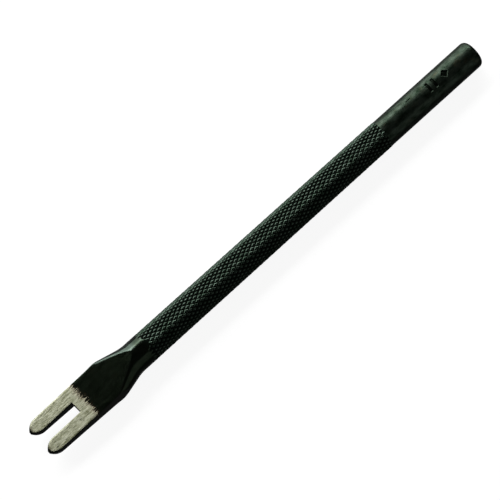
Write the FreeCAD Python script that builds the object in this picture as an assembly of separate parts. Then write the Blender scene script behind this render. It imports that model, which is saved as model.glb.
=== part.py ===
import FreeCAD, Part
import math
import os

# A two-prong pricking iron lying flat. +X runs along the bar from the prong tips to the struck end, +Z is
# square to the blade's broad faces, and the origin is under the middle of the tool, on the surface it
# lies on. Everything is in millimetres.

# Overall
overall_length = 149.6
bar_radius = 4.12           # at the front of the grip, the thickest place
butt_x = overall_length / 2
tip_x = -overall_length / 2
axis_height = bar_radius    # the bar's axis above the surface

# Struck end and plain shank
head_x = 70.2               # where the struck end begins
rim_radius = 1.4
shank_radius = 3.85
grip_back_x = 42.4

# Knurled grip, given by the crests of its knurl
grip_front_x = -39.6
grip_back_radius = 3.94

# Neck: the bar flares sideways while two planes flatten it
flare_start_x = -42.8
flare_straight_x = -45.4
flare_slope = 0.29          # growth of the half width per millimetre
neck_front_x = -53.2
flare_stations = 9

# Blade
shoulder_width = 11.18      # at the front of the neck
fork_width = 11.14          # from the root of the slot to the points
wedge_start_x = -42.9       # where the planes first touch the round bar
wedge_slope = 0.24
wedge_end_x = -51.6
ground_start_x = -55.2      # the faces have curved round to their final slope
ground_slope = 0.036
oxide_edge_x = -59.4        # the blackened blade ends and the ground fork begins

# Fork
prong_width = 3.9
slot_root_x = -62.1
point_length = 3.2          # length of the full pointed arch in plan
point_blunt = 0.2           # what is missing at its very tip
nose_length = 1.6           # the broad faces round over towards the tip
nose_half_thickness = 0.45

# Punched mark on the shank: two short bars and a lozenge
mark_depth = 0.3
mark_bar_places = (58.8, 60.7)
mark_lozenge_x = 64.3
mark_bar_width = 0.65
mark_bar_height = 2.7
mark_lozenge_side = 1.5
mark_turn_deg = 10.0        # turned from straight up towards -Y


def point(x, y=0.0, z=0.0):
    """A point with its height counted from the bar's axis."""
    return FreeCAD.Vector(x, y, z + axis_height)


def arc_about(centre, start, end):
    """The shorter arc from start to end round centre."""
    middle = (start + end) * 0.5 - centre
    middle.normalize()
    radius = (start - centre).Length
    return Part.Arc(start, centre + middle * radius, end).toShape()


def line(start, end):
    return Part.LineSegment(start, end).toShape()


def turned(edges):
    """A solid turned about the bar's axis from a closed profile above it."""
    profile = Part.Face(Part.Wire(edges))
    return profile.revolve(point(0), FreeCAD.Vector(1, 0, 0), 360)


def round_bar(x_start, x_end, radius_start, radius_end):
    corners = [point(x_start), point(x_start, z=radius_start), point(x_end, z=radius_end), point(x_end)]
    return turned([line(a, b) for a, b in zip(corners, corners[1:] + corners[:1])])


def slice_between(shape, x_start, x_end):
    """The part of a shape between two stations along the bar."""
    reach = 4 * bar_radius
    box = Part.makeBox(x_end - x_start, 2 * reach, 2 * reach, point(x_start, -reach, -reach))
    return shape.common(box)


# The struck end

def striking_head():
    flat_radius = shank_radius - rim_radius
    rim_start = point(butt_x - rim_radius, z=shank_radius)
    rim_end = point(butt_x, z=flat_radius)
    rim_centre = point(butt_x - rim_radius, z=flat_radius)
    edges = [
        line(point(head_x), point(head_x, z=shank_radius)),
        line(point(head_x, z=shank_radius), rim_start),
        arc_about(rim_centre, rim_start, rim_end),
        line(rim_end, point(butt_x)),
        line(point(butt_x), point(head_x)),
    ]
    return turned(edges)


# The plain shank and its punched mark

def mark_tool(x, length, width, turn):
    """A punch of a given footprint, sunk mark_depth into the top of the shank."""
    punch = Part.makeBox(length, width, shank_radius, FreeCAD.Vector(-length / 2, -width / 2, 0))
    punch.rotate(FreeCAD.Vector(), FreeCAD.Vector(0, 0, 1), turn)
    punch.translate(point(x, z=shank_radius - mark_depth))
    punch.rotate(point(0), FreeCAD.Vector(1, 0, 0), mark_turn_deg)
    return punch


def plain_shank():
    shank = round_bar(grip_back_x, head_x, shank_radius, shank_radius)
    for x in mark_bar_places:
        shank = shank.cut(mark_tool(x, mark_bar_width, mark_bar_height, 0))
    return shank.cut(mark_tool(mark_lozenge_x, mark_lozenge_side, mark_lozenge_side, 45))


# The grip, out to the crests of its knurl

def knurled_grip():
    return round_bar(grip_front_x, grip_back_x, bar_radius, grip_back_radius)


# The wedge that both broad faces belong to

def wedge_height(x):
    """Half thickness on the straight part of the flattened neck."""
    return bar_radius - wedge_slope * (wedge_start_x - x)


def ground_height(x):
    """Half thickness on the ground fork."""
    run = wedge_end_x - ground_start_x
    drop = (wedge_slope + ground_slope) / 2 * run
    return wedge_height(wedge_end_x) - drop - ground_slope * (ground_start_x - x)


def upper_edges():
    """The upper broad face from the tip back over the round bar, seen from the side."""
    nose_x = tip_x + nose_length
    nose_start = point(nose_x, z=ground_height(nose_x))
    drop = ground_height(nose_x) - nose_half_thickness
    nose_radius = (nose_length ** 2 + drop ** 2) / (2 * drop)
    nose_centre = point(nose_x, z=ground_height(nose_x) - nose_radius)
    nose_end = point(tip_x, z=nose_half_thickness)
    blend_start = point(ground_start_x, z=ground_height(ground_start_x))
    blend_end = point(wedge_end_x, z=wedge_height(wedge_end_x))
    turn = math.atan(wedge_slope) - math.atan(ground_slope)
    blend_radius = (blend_end - blend_start).Length / (2 * math.sin(turn / 2))
    chord = (blend_end - blend_start).normalize()
    rise = blend_radius * math.cos(turn / 2)
    middle = (blend_start + blend_end) * 0.5
    blend_centre = middle + FreeCAD.Vector(-chord.z, 0, chord.x) * rise
    back = point(grip_front_x + 1, z=wedge_height(grip_front_x + 1))
    return [
        arc_about(nose_centre, nose_end, nose_start),
        line(nose_start, blend_start),
        arc_about(blend_centre, blend_start, blend_end),
        line(blend_end, back),
    ]


def wedge():
    """Everything between the two broad faces, wider than the blade."""
    upper = upper_edges()
    lower = [edge.mirror(point(0), FreeCAD.Vector(0, 0, 1)) for edge in upper]
    back_x = grip_front_x + 1
    back_height = wedge_height(back_x)
    ends = [
        line(point(back_x, z=back_height), point(back_x, z=-back_height)),
        line(point(tip_x, z=nose_half_thickness), point(tip_x, z=-nose_half_thickness)),
    ]
    outline = Part.Wire(Part.__sortEdges__(upper + lower + ends))
    slab = Part.Face(outline).extrude(FreeCAD.Vector(0, 2 * fork_width, 0))
    slab.translate(FreeCAD.Vector(0, -fork_width, 0))
    return slab


def side_half_width(x):
    """Half the blade's width behind the slot's root, changing evenly towards the neck."""
    share = (x - slot_root_x) / (neck_front_x - slot_root_x)
    return (fork_width + (shoulder_width - fork_width) * share) / 2


def between_sides():
    """Everything between the blade's two flat sides, higher than the bar."""
    outline = []
    for x, half in ((tip_x, fork_width / 2), (slot_root_x, fork_width / 2),
                    (grip_front_x, side_half_width(grip_front_x))):
        outline.append(point(x, half, -2 * bar_radius))
    outline += [FreeCAD.Vector(p.x, -p.y, p.z) for p in reversed(outline)]
    edges = [line(a, b) for a, b in zip(outline, outline[1:] + outline[:1])]
    return Part.Face(Part.Wire(edges)).extrude(FreeCAD.Vector(0, 0, 4 * bar_radius))


# The neck

def flare_half_width(x):
    """Half the bar's width in the neck before its sides are cut: round, then widening evenly."""
    if x >= flare_start_x:
        return bar_radius
    curve_run = flare_start_x - flare_straight_x
    run = flare_start_x - x
    if run <= curve_run:
        return bar_radius + flare_slope * run ** 2 / (2 * curve_run)
    return bar_radius + flare_slope * (run - curve_run / 2)


def flare_section(x):
    """An oval across the bar: as high as the round bar, and wider."""
    wide = flare_half_width(x)
    if wide <= bar_radius:
        oval = Part.Circle(point(x), FreeCAD.Vector(1, 0, 0), bar_radius)
        oval.XAxis = FreeCAD.Vector(0, 1, 0)
    else:
        oval = Part.Ellipse(point(x, y=wide), point(x, z=bar_radius), point(x))
    return Part.Wire([oval.toShape()])


def neck():
    step = (flare_start_x - neck_front_x) / (flare_stations - 1)
    stations = [flare_start_x - step * i for i in range(flare_stations)]
    flare = Part.makeLoft([flare_section(x) for x in stations], True, False)
    flattened = flare.common(wedge()).common(between_sides())
    collar = round_bar(flare_start_x, grip_front_x, bar_radius, bar_radius)
    return collar.fuse(flattened).removeSplitter()


# The blade and the fork

def blade_blank():
    """The wedge cut to the blade's width."""
    return wedge().common(between_sides())


def prong_plan(y_centre):
    """One prong seen from above: parallel sides that close in a pointed arch with a blunt tip."""
    half = prong_width / 2
    arch_x = tip_x - point_blunt + point_length
    radius = (point_length ** 2 + half ** 2) / (2 * half)
    blunt_half = math.sqrt(radius ** 2 - (arch_x - tip_x) ** 2) - (radius - half)
    edges = []
    for side in (1, -1):
        root = point(slot_root_x, y_centre + side * half, -2 * bar_radius)
        shoulder = point(arch_x, y_centre + side * half, -2 * bar_radius)
        tip = point(tip_x, y_centre + side * blunt_half, -2 * bar_radius)
        centre = point(arch_x, y_centre + side * (half - radius), -2 * bar_radius)
        edges += [line(root, shoulder), arc_about(centre, shoulder, tip)]
    low, high = y_centre - half, y_centre + half
    edges.append(line(point(slot_root_x, low, -2 * bar_radius), point(slot_root_x, high, -2 * bar_radius)))
    edges.append(line(point(tip_x, y_centre - blunt_half, -2 * bar_radius),
                      point(tip_x, y_centre + blunt_half, -2 * bar_radius)))
    return Part.Face(Part.Wire(Part.__sortEdges__(edges)))


def prong(side):
    """The prong on the +Y side (1) or the -Y side (-1)."""
    plan = prong_plan(side * (fork_width - prong_width) / 2)
    column = plan.extrude(FreeCAD.Vector(0, 0, 4 * bar_radius))
    return wedge().common(column)


blank = blade_blank()
nodes = {
    "striking_head": striking_head(),
    "plain_shank": plain_shank(),
    "knurled_grip": knurled_grip(),
    "neck": neck(),
    "blade": slice_between(blank, oxide_edge_x, neck_front_x),
    "fork_web": slice_between(blank, slot_root_x, oxide_edge_x),
    "left_prong": prong(1),
    "right_prong": prong(-1),
}

os.makedirs("parts", exist_ok=True)
for name, shape in nodes.items():
    solid = shape.Solids[0]
    solid.exportStep("parts/" + name + ".step")
    box = solid.BoundBox
    print(f"{name}: {len(shape.Solids)} solid, valid {solid.isValid()}, {solid.Volume:.2f} mm3, "
          f"x {box.XMin:.2f} to {box.XMax:.2f}, y {box.YMin:.2f} to {box.YMax:.2f}, "
          f"z {box.ZMin:.2f} to {box.ZMax:.2f}")
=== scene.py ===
import math

import bmesh
import bpy
import numpy as np
from mathutils import Matrix, Vector


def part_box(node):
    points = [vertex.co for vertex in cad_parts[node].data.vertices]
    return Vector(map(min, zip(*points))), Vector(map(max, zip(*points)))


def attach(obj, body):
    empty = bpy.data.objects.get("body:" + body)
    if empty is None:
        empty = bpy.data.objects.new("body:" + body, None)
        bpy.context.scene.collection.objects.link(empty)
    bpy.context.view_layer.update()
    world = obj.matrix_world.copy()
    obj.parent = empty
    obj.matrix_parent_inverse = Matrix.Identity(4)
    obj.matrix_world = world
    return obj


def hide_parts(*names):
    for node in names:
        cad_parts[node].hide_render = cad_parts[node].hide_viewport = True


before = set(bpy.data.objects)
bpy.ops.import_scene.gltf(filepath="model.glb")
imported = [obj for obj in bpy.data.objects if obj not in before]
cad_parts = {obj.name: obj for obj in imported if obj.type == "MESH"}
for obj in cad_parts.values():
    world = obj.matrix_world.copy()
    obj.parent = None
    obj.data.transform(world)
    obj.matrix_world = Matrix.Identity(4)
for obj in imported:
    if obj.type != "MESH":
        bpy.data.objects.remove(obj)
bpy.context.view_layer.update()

# A two-prong pricking iron in blackened steel, with a rolled diamond knurl and a fork ground bright on both
# faces. Lengths are in metres and angles in radians. +X runs from the prong tips to the struck end, +Y
# across the blade, +Z square to its broad faces.

MM = 0.001


def corners(node):
    low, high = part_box(node)
    return np.array(low), np.array(high)


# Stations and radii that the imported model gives
grip_low, grip_high = corners("knurled_grip")
shank_low, shank_high = corners("plain_shank")
head_low, head_high = corners("striking_head")
neck_low, neck_high = corners("neck")
blade_low = corners("blade")[0]
web_low, web_high = corners("fork_web")
prong_low, prong_high = corners("left_prong")
axis_z = (grip_low[2] + grip_high[2]) / 2
bar_radius = (grip_high[2] - grip_low[2]) / 2
shank_radius = (shank_high[1] - shank_low[1]) / 2
fork_half_width = prong_high[1]
tip_x = prong_low[0]
butt_x = head_high[0]

# Shapes that the boxes don't give, as in the CAD part
grip_back_radius = 3.94 * MM
rim_radius = 1.4 * MM
flare_start_x = -42.8 * MM
flare_straight_x = -45.4 * MM
flare_slope = 0.29
wedge_start_x = -42.9 * MM
shoulder_half_width = 5.59 * MM     # at the front of the neck
wedge_slope = 0.24
wedge_end_x = -51.6 * MM
ground_start_x = -55.2 * MM
ground_slope = 0.036
nose_length = 1.6 * MM
nose_half_thickness = 0.45 * MM
point_length = 3.2 * MM
point_blunt = 0.2 * MM

# Edges that only the looks need
edge_radius = 0.09 * MM
neck_edge_radius = 0.35 * MM        # between the neck's faces and its round sides
neck_edge_run = 3.0 * MM            # over which the blade's edge softens into the neck's
apex_run = 1.5 * MM                 # half width over which the neck's edge grows from nothing
side_ease = 0.12 * MM               # rounds the line where the flare meets the blade's flat side
prong_edge_radius = 0.126 * MM
tip_edge_radius = 0.3 * MM          # added to it at the very tip
face_hollow = 0.03 * MM             # left in the struck face by facing it on a lathe
sharp_angle = math.radians(32)      # edges steeper than this stay crisp

# The knurl
knurl_starts = 22
knurl_pitch = 2.0 * MM              # along the bar
knurl_depth = 0.235 * MM
knurl_fade = 0.6 * MM               # over which it comes up to depth at the neck
knurl_late = 1.4 * MM               # how much later it starts in line with the broad faces
knurl_lean = math.radians(9)        # how far that late start is turned towards -Y
knurl_rub = 1.8 * MM                # over which its crests take on their own colour
collar_highlight = 0.25                # share of the painted highlight where the knurl starts, the neck's flank being 1

# The punched mark on the shank, and a nick beside it
mark_depth = 0.3 * MM
mark_wall = 0.15 * MM               # half the width of its sloping walls
mark_burr = 0.02 * MM
mark_bar_places = (58.8 * MM, 60.7 * MM)
mark_bar_size = (0.65 * MM, 2.7 * MM)
mark_lozenge_x = 64.3 * MM
mark_lozenge_side = 1.5 * MM
mark_stretch = (57.9 * MM, 66.1 * MM)
mark_turn = math.radians(10)        # from straight up towards -Y
mark_span = math.radians(30)        # the finely divided part of the shank, either side of the mark
nick_x = 52.6 * MM
nick_arc = 1.2 * MM                 # round the bar from the mark's middle
nick_size = (1.5 * MM, 0.06 * MM)
nick_depth = 0.15 * MM
nick_stretch = (50.9 * MM, 54.4 * MM)


# Building meshes

def piece(name, node, material, bm):
    """A finished piece of the tool from a bmesh: rides on the one body and stands for its CAD node."""
    bmesh.ops.remove_doubles(bm, verts=bm.verts, dist=1e-7)
    bmesh.ops.recalc_face_normals(bm, faces=bm.faces)
    mesh = bpy.data.meshes.new(name)
    bm.to_mesh(mesh)
    bm.free()
    mesh.shade_smooth()
    mesh.set_sharp_from_angle(angle=sharp_angle)
    obj = bpy.data.objects.new(name, mesh)
    bpy.context.scene.collection.objects.link(obj)
    obj.data.materials.append(material)
    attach(obj, "root")
    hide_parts(node)


def skin(rings, layer_name="crest", values=None):
    """A closed bmesh through rings of points, all rings having the same number, with a flat cap at both ends.
    values holds each point's number in the layer, which its material reads. Left out, it is 1 everywhere."""
    bm = bmesh.new()
    layer = bm.verts.layers.float.new(layer_name)
    rows = [[bm.verts.new(p) for p in ring] for ring in rings]
    for i, row in enumerate(rows):
        for j, vert in enumerate(row):
            vert[layer] = 1.0 if values is None else values[i][j]
    count = len(rows[0])
    for near, far in zip(rows, rows[1:]):
        for i in range(count):
            j = (i + 1) % count
            bm.faces.new((near[i], near[j], far[j], far[i]))
    bm.faces.new(rows[0])
    bm.faces.new(rows[-1])
    return bm


def around(x, radius, count):
    """A ring of points round the bar. radius is a number or one for each point."""
    turn = np.arange(count) * 2 * math.pi / count
    return np.column_stack([np.full(count, x), radius * np.sin(turn), axis_z + radius * np.cos(turn)])


def smoothstep(low, high, value):
    t = np.clip((value - low) / (high - low), 0.0, 1.0)
    return t * t * (3 - 2 * t)


# The bar behind the neck

def grip_radius(x):
    share = (x - grip_low[0]) / (grip_high[0] - grip_low[0])
    return bar_radius + (grip_back_radius - bar_radius) * share


def knurl_onset(x, turn):
    """How far the knurl has come up to its depth, from 0 to 1. turn is counted from straight up."""
    in_line = abs(math.cos(turn + knurl_lean)) ** 24
    return float(smoothstep(0.0, knurl_fade, x - grip_low[0] - knurl_late * in_line))


def knurled_bar():
    """The grip's skin, laid out along both families of helical grooves, so facets meet at mesh edges."""
    steps = (0.0, 0.28, 0.35, 0.50, 0.65, 0.72)         # stations across one groove spacing
    sunk = (1.0, 0.10, 0.0, 0.0, 0.0, 0.10)             # how deep each lies, as a share of the groove
    per = len(steps)
    around_count = knurl_starts * per
    bm = bmesh.new()
    crest = bm.verts.layers.float.new("crest")
    margin = knurl_pitch
    first = math.floor(2 * (grip_low[0] - margin) / knurl_pitch)
    last = math.ceil(2 * (grip_high[0] + margin) / knurl_pitch)
    verts = {}

    def vertex(p, q):
        wraps = p // around_count
        key = (p - wraps * around_count, q - wraps * around_count)
        if key not in verts:
            p, q = key
            u = p // per + steps[p % per]
            v = q // per + steps[q % per]
            x = knurl_pitch * (u - v) / 2
            turn = math.pi * (u + v) / knurl_starts
            deep = max(sunk[p % per], sunk[q % per]) * knurl_onset(x, turn)
            radius = grip_radius(x) - knurl_depth * deep
            vert = bm.verts.new((x, radius * math.sin(turn), axis_z + radius * math.cos(turn)))
            # The material paints shade into the grooves from this
            vert[crest] = 1.0 - deep
            verts[key] = vert
        return verts[key]

    for p in range(around_count):
        for q in range(p - last * per, p - first * per):
            a, b, c, d = vertex(p, q), vertex(p + 1, q), vertex(p + 1, q + 1), vertex(p, q + 1)
            # The diagonals run towards each diamond's middle
            if (p % per < per // 2) == (q % per < per // 2):
                bm.faces.new((a, b, c))
                bm.faces.new((a, c, d))
            else:
                bm.faces.new((a, b, d))
                bm.faces.new((b, c, d))
    for x, side in ((grip_low[0], -1), (grip_high[0], 1)):
        everything = bm.verts[:] + bm.edges[:] + bm.faces[:]
        bmesh.ops.bisect_plane(bm, geom=everything, plane_co=(x, 0, 0), plane_no=(side, 0, 0),
                               dist=1e-8, clear_outer=True)
        rim = [e for e in bm.edges if e.is_boundary and abs(e.verts[0].co.x - x) < 1e-6
               and abs(e.verts[1].co.x - x) < 1e-6]
        centre = bm.verts.new((x, 0, axis_z))
        for edge in rim:
            bm.faces.new((edge.verts[0], edge.verts[1], centre))
    return bm


def spaced(breaks, sizes):
    """Stations from the first break to the last, each stretch in steps of about its own size."""
    stations = [breaks[0]]
    for start, end, size in zip(breaks, breaks[1:], sizes):
        count = max(1, round(abs(end - start) / size))
        stations += [start + (end - start) * (i + 1) / count for i in range(count)]
    return stations


def rectangle_distance(along, across, length, width):
    """How far a place is from a rectangle's outline, negative inside it."""
    return np.maximum(np.abs(along) - length / 2, np.abs(across) - width / 2)


def mark_sink(x, arc):
    """How deep the punched mark and one small nick lie below the shank at a place on it."""
    shapes = [rectangle_distance(x - place, arc, *mark_bar_size) for place in mark_bar_places]
    turned_x = ((x - mark_lozenge_x) + arc) / math.sqrt(2)
    turned_arc = ((x - mark_lozenge_x) - arc) / math.sqrt(2)
    shapes.append(rectangle_distance(turned_x, turned_arc, mark_lozenge_side, mark_lozenge_side))
    distance = np.minimum.reduce(shapes)
    sink = mark_depth * smoothstep(mark_wall, -mark_wall, distance)
    burr = mark_burr * np.exp(-(distance / mark_wall - 1.8) ** 2)
    nick = rectangle_distance(x - nick_x, arc - nick_arc, *nick_size)
    return sink - burr + nick_depth * smoothstep(mark_wall, -mark_wall, nick)


def marked_shank():
    """The plain round bar, finely divided where the mark and the nick are sunk into it."""
    stations = spaced([shank_low[0], *nick_stretch, *mark_stretch, shank_high[0]],
                      [0.7 * MM, 0.1 * MM, 0.7 * MM, 0.07 * MM, 0.7 * MM])
    turns = np.array(spaced([-mark_span, mark_span, 2 * math.pi - mark_span],
                            [math.radians(1), math.radians(3)])[:-1])
    rings = []
    heights = []
    for x in stations:
        sink = mark_sink(np.full(len(turns), x), shank_radius * turns)
        # The material paints shade into the mark's bottom from these heights
        heights.append(1.0 - np.clip(sink / mark_depth, 0.0, 1.0))
        radius = shank_radius - sink
        side = turns - mark_turn
        rings.append(np.column_stack([np.full(len(turns), x), radius * np.sin(side),
                                      axis_z + radius * np.cos(side)]))
    return skin(rings, "crest", heights)


def domed_head():
    """The struck end: round bar, rolled rim, and a face that is a hair hollow from facing."""
    count = 144
    rings = [around(x, shank_radius, count) for x in np.linspace(head_low[0], butt_x - rim_radius, 6)]
    for turn in np.linspace(0, math.pi / 2, 10)[1:]:
        x = butt_x - rim_radius + rim_radius * math.sin(turn)
        rings.append(around(x, shank_radius - rim_radius + rim_radius * math.cos(turn), count))
    flat = shank_radius - rim_radius
    for share in (0.93, 0.7, 0.4, 0.1):
        rings.append(around(butt_x - face_hollow * (1 - share ** 2), flat * share, count))
    return skin(rings)


# The neck, the blade and the fork

def wedge_height(x):
    """Half the thickness between the two broad faces."""
    if x >= wedge_end_x:
        return bar_radius - wedge_slope * (wedge_start_x - x)
    start = bar_radius - wedge_slope * (wedge_start_x - wedge_end_x)
    run = wedge_end_x - x
    blend_run = wedge_end_x - ground_start_x
    easing = (wedge_slope - ground_slope) / (2 * blend_run)
    if run <= blend_run:
        return start - wedge_slope * run + easing * run ** 2
    end = start - (wedge_slope + ground_slope) / 2 * blend_run
    height = end - ground_slope * (run - blend_run)
    nose_run = tip_x + nose_length - x
    if nose_run <= 0:
        return height
    drop = end - ground_slope * (ground_start_x - tip_x - nose_length) - nose_half_thickness
    radius = (nose_length ** 2 + drop ** 2) / (2 * drop)
    return height - (radius - math.sqrt(max(radius ** 2 - nose_run ** 2, 0.0)))


def flare_half_width(x):
    if x >= flare_start_x:
        return bar_radius
    curve_run = flare_start_x - flare_straight_x
    run = flare_start_x - x
    if run <= curve_run:
        return bar_radius + flare_slope * run ** 2 / (2 * curve_run)
    return bar_radius + flare_slope * (run - curve_run / 2)


def side_half_width(x):
    """Half the width between the blade's flat sides, changing evenly from the slot's root to the neck."""
    share = (x - web_low[0]) / (neck_low[0] - web_low[0])
    return fork_half_width + (shoulder_half_width - fork_half_width) * share


def side_reach(x, z):
    """How far out the blade's or neck's side is at a height above the axis."""
    flat = side_half_width(x)
    if x < neck_low[0]:
        return flat
    oval = flare_half_width(x) * math.sqrt(max(1 - (z / bar_radius) ** 2, 0.0))
    gap = max(side_ease - abs(oval - flat), 0.0) / side_ease
    return min(oval, flat) - gap ** 2 * side_ease / 4


# Points in a quarter of a ring: on the broad face, on its edge and on the side
TOP_POINTS, EDGE_POINTS, SIDE_POINTS = 9, 4, 12
COLLAR_RINGS = 8


def quadrant(x):
    """Points (across, up) from the middle of the upper face, round its edge, to the middle of the side."""
    height = wedge_height(x)
    reach = side_reach(x, height)
    softer = smoothstep(0.0, neck_edge_run, x - neck_low[0])
    ease = min(edge_radius + (neck_edge_radius - edge_radius) * softer, 0.4 * reach)
    fade = smoothstep(0.0, apex_run, reach)
    top = [(reach - ease) * i / TOP_POINTS for i in range(TOP_POINTS)]
    points = [(y, height) for y in top]
    start = np.array([reach - ease, height])
    corner = np.array([reach, height])
    low_z = height - ease * (0.5 + 0.5 * fade)
    end = np.array([side_reach(x, low_z), low_z])
    for i in range(EDGE_POINTS + 1):
        t = i / EDGE_POINTS
        points.append(tuple((1 - t) ** 2 * start + 2 * t * (1 - t) * corner + t ** 2 * end))
    for i in range(1, SIDE_POINTS + 1):
        z = low_z * math.cos(i / SIDE_POINTS * math.pi / 2)
        points.append((side_reach(x, z), z))
    return points


def mirrored(points):
    """A whole ring from its upper right quadrant, running round from the top."""
    right = points + [(y, -z) for y, z in reversed(points[:-1])]
    left = [(-y, z) for y, z in reversed(right[1:-1])]
    return right + left


def lift(x, ring):
    return [(x, y, axis_z + z) for y, z in ring]


def collar_quarter(clustered, share):
    """A quarter ring on the round bar, its points moved from their places at the wedge's start by a share of
    the way to even spacing."""
    count = len(clustered)
    ring = []
    for i, turn in enumerate(clustered):
        even = math.pi / 2 * i / (count - 1)
        angle = turn + (even - turn) * share
        ring.append((bar_radius * math.sin(angle), bar_radius * math.cos(angle)))
    return ring


def flank_values():
    """Numbers for a ring behind the blade, the share of painted highlight it may take: 0 on the two broad
    faces, 1 on their edges and the round sides.
    """
    quarter = [0.0] * TOP_POINTS + [1.0] * (EDGE_POINTS + 1 + SIDE_POINTS)
    right = quarter + quarter[-2::-1]
    return right + right[-2:0:-1]


def flared_neck():
    """The round collar, then the flare with its broad faces. The layer "flank" says how much painted
    highlight it may take.
    """
    apex = wedge_start_x - 0.004 * MM       # just forward of where the faces begin
    clustered = [math.atan2(y, z) for y, z in quadrant(apex)]
    rings = []
    values = []
    for i in range(COLLAR_RINGS):
        share = 1 - i / COLLAR_RINGS        # from 1 at the knurl to almost 0 at the wedge's start
        x = wedge_start_x + (neck_high[0] - wedge_start_x) * share
        rings.append(lift(x, mirrored(collar_quarter(clustered, share))))
        # The painted highlight fades from the wedge's start to its collar share at the knurl
        less = (1 - collar_highlight) * smoothstep(0.2, 0.7, share)
        values.append([1 - less] * len(rings[0]))
    stations = spaced([apex, wedge_start_x - 1.0 * MM, neck_low[0]], [0.1 * MM, 0.25 * MM])
    rings += [lift(x, mirrored(quadrant(x))) for x in stations]
    values += [flank_values()] * len(stations)
    return skin(rings, "flank", values)


def slab(back_x, front_x):
    """A length of the flat blade or of the fork's root."""
    return skin([lift(x, mirrored(quadrant(x))) for x in spaced([back_x, front_x], [0.3 * MM])])


def prong_half_width(x):
    """The plan outline: parallel sides, then a pointed arch with a blunt tip."""
    half = (prong_high[1] - prong_low[1]) / 2
    arch_x = tip_x - point_blunt + point_length
    if x >= arch_x:
        return half
    radius = (point_length ** 2 + half ** 2) / (2 * half)
    return math.sqrt(radius ** 2 - (arch_x - x) ** 2) - (radius - half)


def prong_ring(x, centre_y):
    half = prong_half_width(x)
    height = wedge_height(x)
    towards_tip = smoothstep(point_length, 0.0, x - tip_x)
    ease = min(prong_edge_radius + tip_edge_radius * towards_tip, 0.8 * half, 0.8 * height)
    points = [((half - ease) * i / 6, height) for i in range(6)]
    for i in range(EDGE_POINTS + 2):
        turn = math.pi / 2 * i / (EDGE_POINTS + 1)
        points.append((half - ease + ease * math.sin(turn), height - ease + ease * math.cos(turn)))
    points += [(half, (height - ease) * (1 - i / 4)) for i in range(1, 5)]
    return [(x, centre_y + y, z) for x, y, z in lift(x, mirrored(points))]


def prong(centre_y):
    stations = spaced([web_low[0], tip_x + 4 * MM, tip_x + 0.6 * MM, tip_x],
                      [0.6 * MM, 0.16 * MM, 0.06 * MM])
    return skin([prong_ring(x, centre_y) for x in stations])


# Materials

RANGE_SOCKETS = ("From Min", "From Max", "To Min", "To Max")


class Nodes:
    """A short way to build a node tree."""

    def __init__(self, name):
        self.material = bpy.data.materials.new(name)
        self.material.use_nodes = True
        self.tree = self.material.node_tree
        self.shader = self.tree.nodes["Principled BSDF"]
        coordinates = self.add("ShaderNodeTexCoord").outputs
        self.place = coordinates["Object"]
        self.facing = coordinates["Normal"]

    def add(self, kind, **settings):
        node = self.tree.nodes.new(kind)
        for key, value in settings.items():
            setattr(node, key, value)
        return node

    def join(self, source, target):
        self.tree.links.new(source, target)

    def part_of(self, vector, axis):
        """The X, Y or Z of a vector."""
        node = self.add("ShaderNodeSeparateXYZ")
        self.join(vector, node.inputs["Vector"])
        return node.outputs[axis]

    def layer(self, name):
        """A number that the mesh carries at each vertex."""
        return self.add("ShaderNodeAttribute", attribute_name=name).outputs["Fac"]

    def scaled(self, per_mm):
        """Object coordinates counted in features, from their number per millimetre along X, Y and Z."""
        mapping = self.add("ShaderNodeMapping", vector_type="POINT")
        mapping.inputs["Scale"].default_value = [value / MM for value in per_mm]
        self.join(self.place, mapping.inputs["Vector"])
        return mapping.outputs["Vector"]

    def noise(self, per_mm, detail=3.0, rough=0.55, distortion=0.0):
        node = self.add("ShaderNodeTexNoise")
        node.inputs["Scale"].default_value = 1.0
        node.inputs["Detail"].default_value = detail
        node.inputs["Roughness"].default_value = rough
        node.inputs["Distortion"].default_value = distortion
        self.join(self.scaled(per_mm), node.inputs["Vector"])
        return node.outputs["Fac"]

    def remap(self, value, low, high, to_low=0.0, to_high=1.0, smooth=False):
        node = self.add("ShaderNodeMapRange", interpolation_type="SMOOTHSTEP" if smooth else "LINEAR")
        for key, number in zip(RANGE_SOCKETS, (low, high, to_low, to_high)):
            node.inputs[key].default_value = number
        self.join(value, node.inputs["Value"])
        return node.outputs["Result"]

    def math(self, operation, first, second):
        node = self.add("ShaderNodeMath", operation=operation)
        for socket, value in zip(node.inputs, (first, second)):
            if isinstance(value, (int, float)):
                socket.default_value = value
            else:
                self.join(value, socket)
        return node.outputs["Value"]

    def blend_colour(self, share, first, second):
        """A mix of two colours, each a socket or red, green and blue."""
        node = self.add("ShaderNodeMix", data_type="RGBA")
        self.join(share, node.inputs["Factor"])
        for socket, value in ((node.inputs[6], first), (node.inputs[7], second)):
            if isinstance(value, tuple):
                socket.default_value = (*value, 1.0)
            else:
                self.join(value, socket)
        return node.outputs[2]

    def blend_value(self, share, first, second):
        node = self.add("ShaderNodeMix", data_type="FLOAT")
        self.join(share, node.inputs["Factor"])
        for socket, value in ((node.inputs[2], first), (node.inputs[3], second)):
            if isinstance(value, (int, float)):
                socket.default_value = value
            else:
                self.join(value, socket)
        return node.outputs[0]

    def bump(self, height, distance, normal=None):
        node = self.add("ShaderNodeBump")
        node.inputs["Distance"].default_value = distance
        self.join(height, node.inputs["Height"])
        if normal is not None:
            self.join(normal, node.inputs["Normal"])
        return node.outputs["Normal"]

    def finish(self, colour, roughness, normal):
        self.join(colour, self.shader.inputs["Base Color"])
        self.join(roughness, self.shader.inputs["Roughness"])
        self.join(normal, self.shader.inputs["Normal"])
        self.shader.inputs["Metallic"].default_value = 1.0
        return self.material


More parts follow.
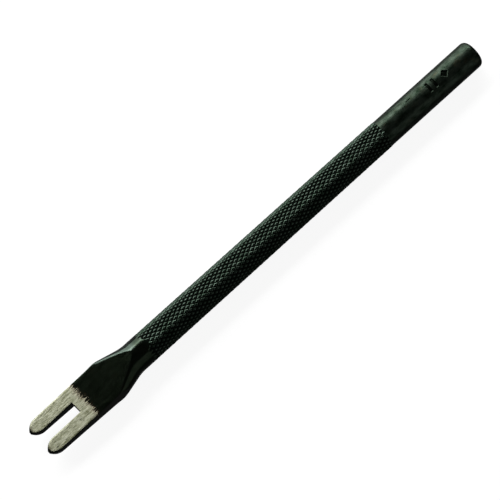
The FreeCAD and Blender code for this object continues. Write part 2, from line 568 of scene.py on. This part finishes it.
# Black oxide is a thin, dark, faintly green skin on the steel, so its colour is that of a very dark metal.
# Each clouded oxide is its dark tone, its light one and its brown one.
SHANK_OXIDE = ((0.009, 0.017, 0.010), (0.047, 0.064, 0.048), (0.050, 0.042, 0.022))
BLADE_OXIDE = ((0.0125, 0.020, 0.0115), (0.023, 0.032, 0.021), (0.028, 0.028, 0.016))
# Lighter oxide, a painted highlight on the +Y side that faces the key lamp
HIGHLIGHT_OXIDE = ((0.040, 0.056, 0.045), (0.065, 0.084, 0.070), (0.052, 0.069, 0.056))
GROOVE_SHADE_OXIDE = (0.006, 0.009, 0.006)        # painted shade on the darkest oxide, at the bottom of the knurl's grooves and of the mark
KNURL_DULL = (0.027, 0.045, 0.031)
KNURL_WORN = (0.054, 0.077, 0.060)

# The ground steel, and the brown at its edge
STEEL_DULL = (0.10, 0.105, 0.05)
STEEL_BRIGHT = (0.52, 0.53, 0.40)
STEEL_WARM = (0.46, 0.40, 0.31)             # close to the oxide
STEEL_SCRATCH = (0.06, 0.06, 0.04)
FRINGE_BROWN = (0.09, 0.050, 0.022)
fringe_reach = 1.6 * MM                     # how far its teeth run either way
fringe_soft = 0.3 * MM                      # half the width over which steel gives way to oxide
fringe_width = 0.6 * MM
warm_width = 1.0 * MM


def oxide_colour(nodes, dark, light, brown):
    """Blackened steel: nearly black, clouded with a little green and a trace of brown."""
    clouds = nodes.remap(nodes.noise((0.40, 0.9, 0.9), detail=6.0, rough=0.68), 0.36, 0.64)
    rust = nodes.remap(nodes.noise((0.35, 0.6, 0.6), detail=5.0, rough=0.65), 0.56, 0.72)
    mottled = nodes.blend_colour(clouds, dark, light)
    return nodes.blend_colour(nodes.math("MULTIPLY", rust, 0.7), mottled, brown)


def smooth_oxide():
    nodes = Nodes("black_oxide_smooth")
    grain = nodes.noise((5.0, 5.0, 5.0), detail=4.0)
    waves = nodes.noise((0.35, 1.1, 1.1), detail=3.0)
    crest = nodes.remap(nodes.layer("crest"), 0.2, 0.9)
    # Painted shade in the bottoms of the mark and the nick
    colour = nodes.blend_colour(crest, GROOVE_SHADE_OXIDE, oxide_colour(nodes, *SHANK_OXIDE))
    roughness = nodes.remap(waves, 0.3, 0.7, 0.34, 0.46)
    normal = nodes.bump(waves, 0.02 * MM)
    normal = nodes.bump(grain, 0.004 * MM, normal=normal)
    return nodes.finish(colour, roughness, normal)


def towards_plus_y(nodes):
    """1 on the +Y side, which faces the key lamp and takes the painted highlight, 0 on the other."""
    return nodes.remap(nodes.part_of(nodes.facing, "Y"), -0.1, 0.05)


def oxide_and_highlight(nodes, highlight_share):
    """Colour and roughness of the oxide from the collar forward: smooth, and lighter where the highlight
    share paints a highlight.
    """
    dark = oxide_colour(nodes, *BLADE_OXIDE)
    painted_highlight = oxide_colour(nodes, *HIGHLIGHT_OXIDE)
    colour = nodes.blend_colour(highlight_share, dark, painted_highlight)
    roughness = nodes.remap(nodes.noise((0.35, 1.1, 1.1)), 0.3, 0.7, 0.14, 0.22)
    return colour, roughness


def knurled_oxide():
    """The knurl's crests in their own worn colour and its grooves painted dark as shade, starting from the
    collar's smooth oxide.
    """
    nodes = Nodes("black_oxide_knurled")
    crest = nodes.remap(nodes.layer("crest"), 0.1, 0.65)
    wear = nodes.remap(nodes.noise((0.5, 0.5, 0.5), detail=4.0), 0.38, 0.62)
    # A painted highlight on the collar's +Y side, before the knurl's crests take over
    painted_highlight = nodes.math("MULTIPLY", towards_plus_y(nodes), collar_highlight)
    smooth_colour, smooth_rough = oxide_and_highlight(nodes, painted_highlight)
    onset = nodes.remap(nodes.part_of(nodes.place, "X"), grip_low[0], grip_low[0] + knurl_rub)
    tops = nodes.blend_colour(onset, smooth_colour, nodes.blend_colour(wear, KNURL_DULL, KNURL_WORN))
    # Painted shade: the grooves and their walls darken towards the groove colour by the square of the crest
    # number
    colour = nodes.blend_colour(nodes.math("MULTIPLY", crest, crest), GROOVE_SHADE_OXIDE, tops)
    roughness = nodes.blend_value(onset, smooth_rough, nodes.blend_value(crest, 0.40, 0.27))
    normal = nodes.bump(nodes.noise((6.0, 6.0, 6.0), detail=3.0), 0.008 * MM)
    return nodes.finish(colour, roughness, normal)


def ground_bright(nodes, edge, streak):
    """The ground steel's colour: brushed lengthwise, scratched, and warmer close to the oxide."""
    scratch = nodes.noise((0.45, 2.6, 0.5), detail=3.0, distortion=0.4)
    colour = nodes.blend_colour(nodes.remap(streak, 0.38, 0.62), STEEL_DULL, STEEL_BRIGHT)
    colour = nodes.blend_colour(nodes.remap(scratch, 0.62, 0.70), colour, STEEL_SCRATCH)
    warm = nodes.remap(edge, blade_low[0] - warm_width, blade_low[0] - 0.1 * warm_width, 0.0, 0.35)
    return nodes.blend_colour(warm, colour, STEEL_WARM)


def neck_highlight(nodes, x):
    """How much painted highlight the oxide takes: most on the neck's +Y flank, which faces the key lamp, and
    not at all from the blade forward.
    """
    behind_blade = nodes.remap(x, neck_low[0] + 0.3 * MM, neck_low[0] + 2.0 * MM)
    flank = nodes.math("MULTIPLY", nodes.layer("flank"), behind_blade)
    return nodes.math("MULTIPLY", flank, towards_plus_y(nodes))


def fork_steel():
    """Blackened steel that turns bright where both broad faces were ground, with a brown fringe between."""
    nodes = Nodes("fork_steel")
    x = nodes.part_of(nodes.place, "X")
    upright = nodes.math("ABSOLUTE", nodes.part_of(nodes.facing, "Z"), 0.0)
    # Ground steel only where the normal stands nearly square to the broad faces; eased edges and the tips'
    # rounded noses keep the dark oxide, real on the edges and painted shade on the tips
    on_face = nodes.remap(upright, 0.90, 0.998, smooth=True)
    teeth = nodes.noise((0.7, 4.0, 0.5), detail=4.0, rough=0.7)
    edge = nodes.math("ADD", x, nodes.remap(teeth, 0.25, 0.75, -fringe_reach, fringe_reach))
    ground = nodes.remap(edge, blade_low[0] + fringe_soft, blade_low[0] - fringe_soft)
    ground = nodes.math("MULTIPLY", on_face, ground)
    fringe = nodes.remap(edge, blade_low[0] + fringe_width, blade_low[0])
    streak = nodes.noise((0.40, 2.3, 0.5), detail=6.0, rough=0.8)
    # The oxide carries the painted highlight on the neck's +Y flank
    oxide, oxide_rough = oxide_and_highlight(nodes, neck_highlight(nodes, x))
    dark = nodes.blend_colour(nodes.math("MULTIPLY", on_face, fringe), oxide, FRINGE_BROWN)
    colour = nodes.blend_colour(ground, dark, ground_bright(nodes, edge, streak))
    steel_rough = nodes.remap(streak, 0.3, 0.7, 0.42, 0.30)
    roughness = nodes.blend_value(ground, oxide_rough, steel_rough)
    fine = nodes.noise((0.8, 16.0, 0.5), detail=3.0)
    brushed = nodes.math("ADD", nodes.math("MULTIPLY", streak, 0.6), nodes.math("MULTIPLY", fine, 0.4))
    heights = nodes.blend_value(ground, nodes.noise((5.0, 5.0, 5.0), detail=3.0), brushed)
    return nodes.finish(colour, roughness, nodes.bump(heights, 0.012 * MM))


def pale_floor():
    nodes = Nodes("pale_floor")
    tone = nodes.remap(nodes.noise((0.02, 0.02, 0.02)), 0.3, 0.7)
    colour = nodes.blend_colour(tone, (floor_tones[0],) * 3, (floor_tones[1],) * 3)
    nodes.shader.inputs["Roughness"].default_value = 0.9
    nodes.shader.inputs["Specular IOR Level"].default_value = 0.1
    nodes.shader.inputs["Emission Color"].default_value = (1.0, 1.0, 1.0, 1.0)
    nodes.shader.inputs["Emission Strength"].default_value = floor_glow
    nodes.join(colour, nodes.shader.inputs["Base Color"])
    return nodes.material


# The studio

view_tilt = math.radians(10.0)          # the camera leans towards the prong end
view_roll = math.radians(25.0)          # and towards the -Y side
picture_turn = math.radians(42.0)       # the bar's slope in the picture
camera_distance = 0.808
camera_lens = 230.8                     # the lens and the sensor are given in millimetres
sensor_width = 36.0
aim_shift = (-2.558 * MM, -1.414 * MM)  # where the picture's middle lies from the tool's, right and up
floor_side = 6.0
floor_gap = 0.02 * MM                   # below the tool
floor_tones = (0.145, 0.16)
floor_glow = 0.92                       # the floor is a light table, which keeps shadows faint
sky_rise = (0.5, 0.85)                  # the Y of a direction, between which the surroundings brighten
sky_glow = (0.06, 0.21)
lamp_distance = 0.7


def view_axes():
    """The picture's right, its up and the way back to the camera."""
    back = Vector((-math.sin(view_tilt), -math.cos(view_tilt) * math.sin(view_roll),
                   math.cos(view_tilt) * math.cos(view_roll)))
    along = Vector((math.cos(view_tilt), -math.sin(view_tilt) * math.sin(view_roll),
                    math.sin(view_tilt) * math.cos(view_roll)))
    across = back.cross(along)
    right = math.cos(picture_turn) * along - math.sin(picture_turn) * across
    up = math.sin(picture_turn) * along + math.cos(picture_turn) * across
    return right, up, back


def camera():
    right, up, back = view_axes()
    middle = Vector(((tip_x + butt_x) / 2, 0, axis_z))
    data = bpy.data.cameras.new("camera")
    data.lens = camera_lens
    data.sensor_width = sensor_width
    data.clip_start = 0.01
    data.clip_end = 20
    obj = bpy.data.objects.new("camera", data)
    turn = Matrix((right, up, back)).transposed().to_4x4()
    spot = middle + right * aim_shift[0] + up * aim_shift[1] + back * camera_distance
    obj.matrix_world = Matrix.Translation(spot) @ turn
    bpy.context.scene.collection.objects.link(obj)
    bpy.context.scene.camera = obj


def softbox(name, towards, distance, size, power):
    """A rectangular lamp seen from the tool in a given direction. size is along the bar and across it."""
    data = bpy.data.lights.new(name, "AREA")
    data.shape = "RECTANGLE"
    data.size, data.size_y = size
    data.energy = power
    obj = bpy.data.objects.new(name, data)
    back = Vector(towards).normalized()
    side = Vector((1, 0, 0)) - back * back.x
    side.normalize()
    obj.matrix_world = (Matrix.Translation(back * distance)
                        @ Matrix((side, back.cross(side), back)).transposed().to_4x4())
    bpy.context.scene.collection.objects.link(obj)


def floor():
    bpy.ops.mesh.primitive_plane_add(size=floor_side, location=(0, 0, -floor_gap))
    obj = bpy.context.object
    obj.name = "floor"
    obj.data.materials.append(pale_floor())
    obj.visible_glossy = False


def surroundings():
    """A dim grey room that is lighter on the +Y side."""
    world = bpy.data.worlds.new("studio")
    world.use_nodes = True
    tree = world.node_tree
    background = tree.nodes["Background"]
    background.inputs["Color"].default_value = (1.0, 1.0, 1.0, 1.0)
    apart = tree.nodes.new("ShaderNodeSeparateXYZ")
    tree.links.new(tree.nodes.new("ShaderNodeTexCoord").outputs["Generated"], apart.inputs["Vector"])
    strength = tree.nodes.new("ShaderNodeMapRange")
    strength.interpolation_type = "SMOOTHSTEP"
    for key, value in zip(RANGE_SOCKETS, (*sky_rise, *sky_glow)):
        strength.inputs[key].default_value = value
    tree.links.new(apart.outputs["Y"], strength.inputs["Value"])
    tree.links.new(strength.outputs["Result"], background.inputs["Strength"])
    bpy.context.scene.world = world


camera()
floor()
surroundings()
softbox("key", towards=(0.17, 0.84, 0.515), distance=lamp_distance, size=(1.4, 0.58), power=7.4)
softbox("key_core", towards=(0.17, 0.646, 0.745), distance=lamp_distance, size=(1.4, 0.12), power=2.6)
softbox("fill", towards=(0.26, -0.96, 0.12), distance=0.8, size=(0.4, 0.7), power=0.31)

oxide = smooth_oxide()
knurled = knurled_oxide()
fork = fork_steel()
prong_middle = (prong_low[1] + prong_high[1]) / 2

piece("head", "striking_head", oxide, domed_head())
piece("shank", "plain_shank", oxide, marked_shank())
piece("grip", "knurled_grip", knurled, knurled_bar())
piece("flared_neck", "neck", fork, flared_neck())
piece("blade_slab", "blade", fork, slab(neck_low[0], blade_low[0]))
piece("fork_root", "fork_web", fork, slab(web_high[0], web_low[0]))
piece("prong_left", "left_prong", fork, prong(prong_middle))
piece("prong_right", "right_prong", fork, prong(-prong_middle))

bpy.context.scene.view_settings.view_transform = "Standard"

bpy.context.view_layer.update()
